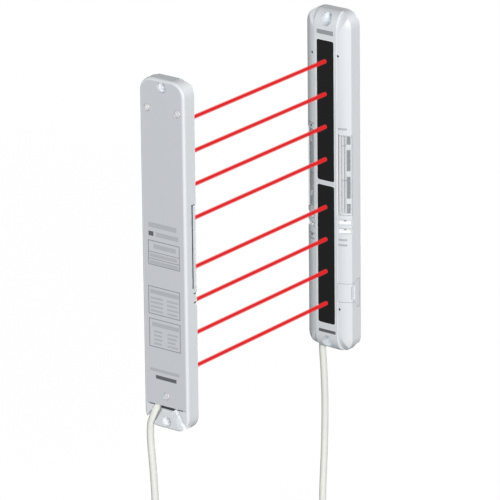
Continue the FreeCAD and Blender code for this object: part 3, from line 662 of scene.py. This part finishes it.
# --------------------------------------------------------------------------------------------
# Units
# --------------------------------------------------------------------------------------------
class Unit:
    """One of the two units: its finishes and the thin pieces that are added to it."""

    FINISH_OF = {
        "front_housing": Finishes.HOUSING, "access_panel": Finishes.HOUSING,
        "back_cover": Finishes.BACK, "cover_screws": Finishes.SCREW,
        "upper_window": Finishes.PANE, "lower_window": Finishes.PANE,
        "upper_lens_bar": Finishes.LENS, "lower_lens_bar": Finishes.LENS,
        "optics_holder": Finishes.BLACK, "circuit_board": Finishes.BOARD,
        "beam_diodes": Finishes.DIODE, "board_chips": Finishes.BLACK,
        "service_socket": Finishes.SOCKET, "cable_header": Finishes.SOCKET,
        "cable_grommet": Finishes.RUBBER, "lead_wires": Finishes.PALE,
        "right_clear_cover": Finishes.CLEAR, "left_clear_cover": Finishes.CLEAR,
        "right_indicator_tray": Finishes.TRAY, "left_indicator_tray": Finishes.TRAY,
        "right_light_guides": Finishes.GUIDE, "left_light_guides": Finishes.GUIDE,
        "coil_tie": Finishes.TIE, "cable": Finishes.CABLE, "cable_coil": Finishes.CABLE,
        "cable_cores": Finishes.BROWN}

    # Heights in millimetres, as the model has them.
    SLOTS = ((24.1, 28.7), (8.5, 20.8), (-7.4, 5.2), (-16.1, -10.7))
    PIPE_LOW, PIPE_HIGH = -15.9, 28.6
    GUIDES = (-21.35, -26.5)
    SKIRT_LOW, SKIRT_HIGH = -17.2, 29.9
    PANEL_HIGH, PANEL_LOW = -57.7, -68.7
    PANEL_SIDE_HIGH, PANEL_SIDE_LOW = -56.0, -72.6
    WINDOWS = ((1.05, 83.35), (-83.35, -1.05))

    PANEL_LINE, RIM_LINE = 0.34, 0.28

    # The pins: their places, and the (radius, depth under the surface) of each ring from below.
    PINS = ((-9.4, 74.4), (8.3, 75.2), (-10.6, 31.6), (-10.6, -32.6), (8.6, -73.2))
    PIN_RINGS = ((0.7, 1.5), (0.7, 0.35), (0.6, 0.2), (0.35, 0.12))
    PIN_SIDES = 20

    def __init__(self, prefix: str, nodes: dict[str, bpy.types.Object], palette: Palette,
                 place: Placing) -> None:
        self.prefix, self.nodes, self.palette, self.place = prefix, nodes, palette, place

    def dress(self) -> None:
        """Gives the unit its finishes and all of its thin pieces."""
        self._paint()
        self._print_back()
        self._print_front()
        for side, word in ((1, "right"), (-1, "left")):
            self._fit_flank(side, word)
        self._fit_pins()
        self._fit_panel()
        self._fit_skirt()
        self._fit_mouth()
        self._fit_window_rims()

    def _paint(self) -> None:
        """Gives every carried-over node its finish."""
        for name, finish in self.FINISH_OF.items():
            node = self.nodes[self.prefix + "_" + name]
            material = self.palette.get(finish)
            if not node.data.materials:
                node.data.materials.append(material)
            for i in range(len(node.data.materials)):
                node.data.materials[i] = material

    def _sheet(self, name: str, finish: Finishes, bars: Sequence[Bar], **given) -> None:
        """Makes one sheet of bars."""
        Sheet("%s_%s" % (self.prefix, name), finish, bars, **given).build(self.palette, self.place)

    def _side_sheet(self, name: str, finish: Finishes, side: int, outlines: Sequence[Corners],
                    lift: float = INK) -> None:
        """Makes thin pieces on a side wall, each from its (depth, height) corners in order."""
        verts, faces = [], []
        for corners in outlines:
            base, count = len(verts), len(corners)
            for x in (HALF_WIDTH - SUNK, HALF_WIDTH + lift):
                verts += [self.place(Vector((side * x, -depth, z)) * MM) for depth, z in corners]
            faces += [tuple(range(base, base + count)),
                      tuple(range(base + count, base + 2 * count))]
            faces += [(base + i, base + (i + 1) % count, base + count + (i + 1) % count,
                       base + count + i) for i in range(count)]
        solid_piece("%s_%s" % (self.prefix, name), verts, faces, self.palette.get(finish))

    def _print_back(self) -> None:
        """Prints the back cover's plain fields: frames, soft lines and dark bars, no letters."""
        frames = frame_bars(-10.6, -6.5, 10.6, 7.5)
        frames += [Bar(-10.3, 0.8, 10.3, 1.1), Bar(-10.3, -3.1, 10.3, -2.8)]
        frames += frame_bars(-10.4, -34.7, 11.0, -18.7) + frame_bars(-10.4, -53.5, 10.8, -37.2)
        self._sheet("back_frames", Finishes.PRINT, frames)
        soft = [Bar(-8.8, 14.9, 10.2, 17.7), Bar(-10.0, 10.0, 5.4, 12.6),
                Bar(-8.2, 3.0, 7.0, 5.6), Bar(-9.0, -2.0, 9.6, 0.0),
                Bar(-9.6, -5.9, 9.6, -3.9), Bar(-9.6, -22.9, 9.6, -20.5),
                Bar(-9.4, -41.6, 8.8, -39.2), Bar(-9.4, -67.6, 10.6, -65.8)]
        half = 0.55
        for i, z in enumerate((-25.4, -27.8, -30.2, -32.6)):
            soft += [Bar(1.2, z - half, 9.6, z + half),
                     Bar(-9.4 + 0.8 * (i % 2), z - half, -1.6, z + half)]
        for i, z in enumerate((-44.4, -46.7, -49.0, -51.3)):
            soft += [Bar(2.0 + 0.4 * (i % 2), z - half, 7.6, z + half),
                     Bar(-8.8 + 0.9 * (i % 3), z - half, -1.6, z + half)]
        self._sheet("back_fields", Finishes.PRINT_SOFT, soft)
        self._sheet("back_bars", Finishes.PRINT_DARK,
                    [Bar(6.9, 10.0, 10.2, 12.6), Bar(-7.2, -71.6, 6.8, -69.5)])

    def _print_front(self) -> None:
        """Prints the front's plain bars above and below the windows, and beside the covers."""
        strip = dict(depth=lambda x: STRIP_DEPTH, height=INK)
        self._sheet("front_upper_bar", Finishes.PRINT_FRONT, [Bar(-5.6, 86.4, 5.6, 88.9)], **strip)
        self._sheet("front_lower_bar", Finishes.PRINT_DARK, [Bar(-5.4, -88.7, 6.2, -86.9)],
                    **strip)
        small = [Bar(side * 8.2, z - 0.6, side * 13.0, z + 0.6)
                 for side in (-1, 1) for z in (33.2, -31.7, -34.8)]
        self._sheet("flank_bars", Finishes.PRINT_SOFT, small, depth=flank_depth(), height=INK)

    def _fit_flank(self, side: int, word: str) -> None:
        """Fits the small parts under one clear cover, at its edges and over the light guides: a
        light pipe, ticks, and inlay sheets and strips of painted shade, painted highlight and
        painted light.

        Args:
            side: 1 for the right flank, -1 for the left.
            word: Name of the side.
        """
        low, high = self.PIPE_LOW, self.PIPE_HIGH
        # Painted shade in the four slots under the cover.
        slot_shade_boxes = [(12.35, 13.75, z0, z1) for z0, z1 in self.SLOTS]
        ticks = [(12.6, 13.3, z - 0.22, z + 0.22) for z in (-15.2, -14.1, -13.0, -11.9)]
        shades = [(9.45, 9.7, low, high), (10.8, 11.0, low, high)]
        shades += [(8.5, 11.9, z - 0.2, z + 0.2) for z in (23.2, 3.0)]
        # Painted shade at the top of each guide recess, with a small notch of it in the middle.
        recess_shade_boxes = [(8.4, 13.8, z + 1.0, z + 1.5) for z in self.GUIDES]
        recess_shade_boxes += [(11.0, 11.7, z + 0.3, z + 1.0) for z in self.GUIDES]
        # Name, finish, slot, inset under the front, thickness, and the boxes across and up.
        layers = (
            ("slot_shades", Finishes.PAINTED_SHADE, "black_plastic", 1.15, 0.1, slot_shade_boxes),
            ("inlay_ticks", Finishes.SHADE_AND_TICKS, "black_plastic", 1.05, INK, ticks),
            ("light_pipe", Finishes.PIPE_AND_HIGHLIGHT, "light_guide", 1.7, 0.45, [(9.75, 10.75, low, high)]),
            ("tray_shades", Finishes.SHADE_AND_TICKS, "black_plastic", 1.68, 0.5, shades),
            # A painted highlight along the clear cover's inner edge.
            ("cover_edge_highlight", Finishes.PIPE_AND_HIGHLIGHT, "clear_cover", 0.0, 0.06, [(7.45, 8.3, -17.1, 29.8)]),
            # Painted light over the shade of the tray's wall.
            ("tray_wall_painted_light", Finishes.PIPE_AND_HIGHLIGHT, "light_guide", 1.3, 0.2, [(8.36, 9.35, -16.2, 28.7)]),
            ("cover_shade", Finishes.SHADE_AND_TICKS, "black_plastic", 0.9, -0.04,
             [(8.4, 13.6, 28.75, 29.05)]),
            ("guide_recess_shades", Finishes.SHADE_AND_TICKS, "black_plastic", 1.4, 0.5, recess_shade_boxes))
        for name, finish, slot, inset, height, boxes in layers:
            bars = [Bar(side * x0, z0, side * x1, z1) for x0, x1, z0, z1 in boxes]
            self._sheet("%s_%s" % (word, name), finish, bars, slot=slot,
                        depth=flank_depth(inset), height=height)

    def _fit_pins(self) -> None:
        """Fits a dark round pin with a rounded head in each small hole of the front."""
        verts, faces, count = [], [], self.PIN_SIDES
        for x, z in self.PINS:
            base, top = len(verts), flank_depth()(x)
            for radius, sunk in self.PIN_RINGS:
                for i in range(count):
                    turn = 2.0 * math.pi * i / count
                    spot = Vector((x + radius * math.cos(turn), sunk - top,
                                   z + radius * math.sin(turn)))
                    verts.append(self.place(spot * MM))
            for row in range(len(self.PIN_RINGS) - 1):
                for i in range(count):
                    a, b = base + count * row + i, base + count * row + (i + 1) % count
                    faces.append((a, b, b + count, a + count))
            for first in (base, base + count * (len(self.PIN_RINGS) - 1)):
                faces.append(tuple(first + i for i in range(count)))
        solid_piece(self.prefix + "_pins", verts, faces, self.palette.get(Finishes.BLACK))

    def _fit_panel(self) -> None:
        """Draws the fine painted shade of the seam round the access panel, on the flank and the
        side.
        """
        high, low, half = self.PANEL_HIGH, self.PANEL_LOW, self.PANEL_LINE / 2
        # Painted shade in the seam's gap, on the flank and along the side wall.
        seams = [Bar(7.55, z - half, 14.95, z + half) for z in (high, low)]
        seams += [Bar(7.5, low, 7.75, high), Bar(14.55, low + 1.5, 14.85, high - 1.5)]
        self._sheet("panel_gap_shades", Finishes.PANEL_GAP_SHADE, seams, depth=flank_depth(), height=INK)
        runs = []
        for z, far in ((high, self.PANEL_SIDE_HIGH), (low, self.PANEL_SIDE_LOW)):
            path = [(8.95, z), (6.9, z), (4.3, far), (2.05, far)]
            runs += [[(a[0], a[1] - half), (b[0], b[1] - half), (b[0], b[1] + half),
                      (a[0], a[1] + half)] for a, b in zip(path, path[1:])]
        runs.append(rectangle(2.0, 2.25, self.PANEL_SIDE_LOW, self.PANEL_SIDE_HIGH))
        self._side_sheet("panel_side_gap_shades", Finishes.PANEL_GAP_SHADE, 1, runs)

    def _fit_skirt(self) -> None:
        """Fits the cover's skirt and the light guides where they reach the left side wall, with
        painted shade beside and above the skirt and at the top of each guide.
        """
        low, high = self.SKIRT_LOW, self.SKIRT_HIGH
        self._side_sheet("left_skirt", Finishes.SKIRT, -1, [rectangle(6.3, 8.0, low, high)],
                         lift=0.06)
        dark = [rectangle(5.3, 6.3, low, high), rectangle(4.9, 8.0, high, 30.5)]
        dark += [rectangle(6.2, 8.1, z + 0.9, z + 1.6) for z in self.GUIDES]
        self._side_sheet("left_skirt_shade", Finishes.PAINTED_SHADE, -1, dark)
        self._side_sheet("left_guide_fields", Finishes.GUIDE, -1,
                         [rectangle(6.2, 8.1, z - 1.5, z + 0.9) for z in self.GUIDES])

    def _fit_mouth(self) -> None:
        """Shades the slit under the back cover and the mouth beside the cable."""
        self._sheet("slit_shade", Finishes.PAINTED_SHADE,
                    [Bar(-11.3, -86.95, -7.7, -86.35), Bar(7.7, -86.95, 11.3, -86.35)])
        self._sheet("mouth_shade", Finishes.MOUTH, [Bar(-4.4, -88.3, 4.4, -86.5)],
                    depth=lambda x: 1.3, height=-0.2)

    def _fit_window_rims(self) -> None:
        """Fits the fine pale rim round each window."""
        rims = [bar for low, high in self.WINDOWS
                for bar in frame_bars(-6.1, low, 6.1, high, line=self.RIM_LINE)]
        self._sheet("window_rims", Finishes.PIPE_AND_HIGHLIGHT, rims, slot="housing",
                    depth=lambda x: STRIP_DEPTH, height=INK)


# --------------------------------------------------------------------------------------------
# Studio
# --------------------------------------------------------------------------------------------
@dataclass(frozen=True)
class Lens:
    """The camera: where it looks, from which way, and how far off it stands.

    Attributes:
        target: The point at the middle of the picture.
        azimuth: Turn round the object, in degrees, from straight in front of the emitter.
        elevation: Height above the horizon, in degrees.
        roll: Tilt of the camera, in degrees.
        distance: Distance from the target.
        focal_px: Focal length, in units of the picture's width divided by 500.
        sensor_mm: Width of the sensor, in millimetres.
    """
    target: Point = (-0.0175, -0.060, -0.02932)
    azimuth: float = 37.31
    elevation: float = 19.91
    roll: float = -0.62
    distance: float = 3.091
    focal_px: float = 5601.0
    sensor_mm: float = 36.0

    def build(self) -> None:
        """Makes the camera and sets it as the scene's."""
        a, e, t = (math.radians(v) for v in (self.azimuth, self.elevation, self.roll))
        ahead = -Vector((math.sin(a) * math.cos(e), -math.cos(a) * math.cos(e), math.sin(e)))
        right = Vector((math.cos(a), math.sin(a), 0.0))
        up = right.cross(ahead)
        x = right * math.cos(t) + up * math.sin(t)
        y = up * math.cos(t) - right * math.sin(t)
        turn = Matrix((x, y, -ahead)).transposed().to_4x4()
        data = bpy.data.cameras.new("camera")
        data.sensor_width = self.sensor_mm
        data.lens = self.focal_px / 500.0 * self.sensor_mm
        data.clip_start, data.clip_end = 0.1, 60.0
        camera = add_object("camera", data)
        place = Vector(self.target) - ahead * self.distance
        camera.matrix_world = Matrix.Translation(place) @ turn
        bpy.context.scene.camera = camera


class Studio:
    """A floor and a background that are white to the camera, and soft lamps."""

    FLOOR_SIZE = 24.0
    FLOOR_COLOUR = (0.16, 0.16, 0.16, 1.0)
    FLOOR_GLOW = 0.9
    # The world's light on the object: at its own height, and overhead.
    WORLD_LEVEL, WORLD_TOP = 0.42, 0.06
    # Name, place, size and power of each lamp.
    LAMPS = (("key_lamp", (3.1, -3.0, 1.15), 1.6, 160.0),
             ("front_lamp", (0.1, -3.0, 0.9), 0.9, 11.0),
             ("back_lamp", (0.5, 3.4, 0.8), 1.6, 75.0),
             ("side_lamp", (-3.2, 1.5, 0.6), 1.4, 34.0))

    def build(self) -> None:
        """Makes the floor, the world and the lamps."""
        bpy.context.scene.view_settings.view_transform = "Standard"
        self._floor()
        self._world()
        for lamp in self.LAMPS:
            self._lamp(*lamp)

    def _floor(self) -> None:
        """Makes the floor, white to the camera, with the object's soft shadow on it."""
        deselect()
        bpy.ops.mesh.primitive_plane_add(size=self.FLOOR_SIZE, location=(0.0, 0.0, FLOOR_Z))
        floor = bpy.context.object
        floor.name = "studio_floor"
        material, shader = new_material("studio_floor")
        nodes, link = material.node_tree.nodes, material.node_tree.links.new
        set_inputs(shader, {"Base Color": self.FLOOR_COLOUR, "Roughness": 0.9,
                            "Specular IOR Level": 0.0, "Emission Color": WHITE})
        path, both = nodes.new("ShaderNodeLightPath"), nodes.new("ShaderNodeMath")
        both.operation = "MAXIMUM"
        link(path.outputs["Is Camera Ray"], both.inputs[0])
        link(path.outputs["Is Transmission Ray"], both.inputs[1])
        scale = nodes.new("ShaderNodeMath")
        scale.operation = "MULTIPLY"
        scale.inputs[1].default_value = self.FLOOR_GLOW
        link(both.outputs[0], scale.inputs[0])
        link(scale.outputs[0], shader.inputs["Emission Strength"])
        floor.data.materials.append(material)

    def _world(self) -> None:
        """Makes the world: white to the camera, and darker overhead for the object."""
        world = bpy.data.worlds.new("studio")
        bpy.context.scene.world = world
        world.use_nodes = True
        nodes, link = world.node_tree.nodes, world.node_tree.links.new
        back = nodes["Background"]
        place, parts = nodes.new("ShaderNodeTexCoord"), nodes.new("ShaderNodeSeparateXYZ")
        link(place.outputs["Generated"], parts.inputs[0])
        ramp = nodes.new("ShaderNodeMapRange")
        set_inputs(ramp, {"From Min": 0.1, "From Max": 0.85,
                          "To Min": self.WORLD_LEVEL, "To Max": self.WORLD_TOP})
        link(parts.outputs["Z"], ramp.inputs["Value"])
        path, pick = nodes.new("ShaderNodeLightPath"), nodes.new("ShaderNodeMix")
        pick.data_type = "FLOAT"
        link(path.outputs["Is Camera Ray"], pick.inputs["Factor"])
        link(ramp.outputs["Result"], pick.inputs[2])
        pick.inputs[3].default_value = 1.0
        link(pick.outputs[0], back.inputs["Strength"])
        back.inputs["Color"].default_value = WHITE

    @staticmethod
    def _lamp(name: str, place: Point, size: float, power: float) -> None:
        """Makes one large soft lamp that faces the object."""
        data = bpy.data.lights.new(name, "AREA")
        data.size, data.energy = size, power
        lamp = add_object(name, data)
        lamp.location = place
        way = Vector((0.0, MIDDLE_Y, 0.0)) - Vector(place)
        lamp.rotation_euler = way.to_track_quat("-Z", "Y").to_euler()


class Beams:
    """The eight beams between the units. Light is no part of the object, so this is stage."""

    FROM_Y = -12.9 * MM
    TO_Y = -146.2 * MM
    # Heights in millimetres: the first beam above the middle, and the step to the next.
    FIRST, STEP, PER_HALF = 14.0, 19.0, 4
    # Name, radius, colour, opacity, and how much further than the core each layer reaches.
    LAYERS = (("core", 0.8 * MM, (214, 18, 24), 1.0, 0.0),
              ("halo", 1.25 * MM, (238, 62, 64), 0.42, 0.3 * MM))

    def build(self) -> None:
        """Makes each beam as a glowing rod in a fainter, wider one."""
        layers = [(word, radius, self._glow("beam_" + word, colour, alpha), spare)
                  for word, radius, colour, alpha, spare in self.LAYERS]
        heights = sorted(sign * (self.FIRST + self.STEP * i) * MM
                         for i in range(self.PER_HALF) for sign in (-1, 1))
        for i, z in enumerate(heights):
            for word, radius, material, spare in layers:
                points = [(0.0, self.FROM_Y - spare, z), (0.0, MIDDLE_Y, z),
                          (0.0, self.TO_Y + spare, z)]
                rod = spline_curve("beam_%s_%d" % (word, i + 1), points, radius)
                rod.data.materials.append(material)
                rod.visible_diffuse = rod.visible_glossy = rod.visible_shadow = False

    @staticmethod
    def _glow(name: str, colour: tuple[int, int, int], alpha: float) -> bpy.types.Material:
        """Makes a material that only gives off light."""
        material, shader = new_material(name)
        set_inputs(shader, {
            "Base Color": NO_COLOUR, "Specular IOR Level": 0.0, "Roughness": 1.0,
            "Emission Color": from_srgb(*colour), "Emission Strength": 1.0, "Alpha": alpha})
        return material


def main() -> None:
    """Builds the whole scene."""
    logging.basicConfig(level=logging.INFO, format="%(message)s")
    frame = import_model()
    Lens().build()
    palette = Palette()
    for route in (EMITTER_CABLE, RECEIVER_CABLE):
        Cable(route, palette).build()
    nodes = frame["nodes"]
    units = (Unit("emitter", nodes, palette, lambda p: p),
             Unit("receiver", nodes, palette,
                  lambda p: Vector((-p.x, RECEIVER_BACK_Y - p.y, p.z))))
    for unit in units:
        unit.dress()
    Studio().build()
    Beams().build()


if __name__ == "__main__":
    main()
